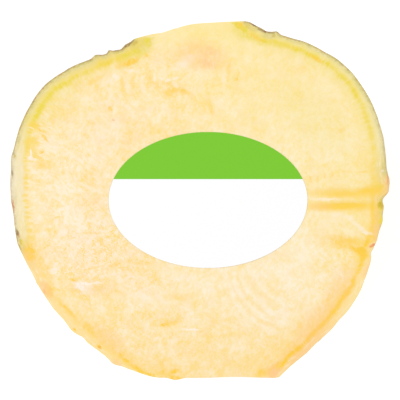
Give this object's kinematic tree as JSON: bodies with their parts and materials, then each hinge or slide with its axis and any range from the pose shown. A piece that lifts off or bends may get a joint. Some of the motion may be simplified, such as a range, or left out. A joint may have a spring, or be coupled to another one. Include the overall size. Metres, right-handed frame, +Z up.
{
  "type": "halved rutabaga",
  "caption": "Half of a rutabaga root, cut lengthways and trimmed at both ends, with a blank oval sticker on its cut face.",
  "frame": {"origin": "on the surface that the half rests on, under the middle of its bounding box", "axes": "+Z up, square to the cut face; +Y towards the trimmed crown and -Y towards the root end; +X to the right of someone who looks down on the cut face with the crown at the top"},
  "size_m": [0.1332, 0.1248, 0.0603],
  "materials": {
    "root": "moist pale yellow flesh on the cut faces, thin buff skin that turns purple-brown at the crown",
    "sticker": "smooth coated label stock, white with a plain green cap"
  },
  "bodies": {
    "root": {"swede_half": "root", "label": "sticker"}
  },
  "joints": []
}
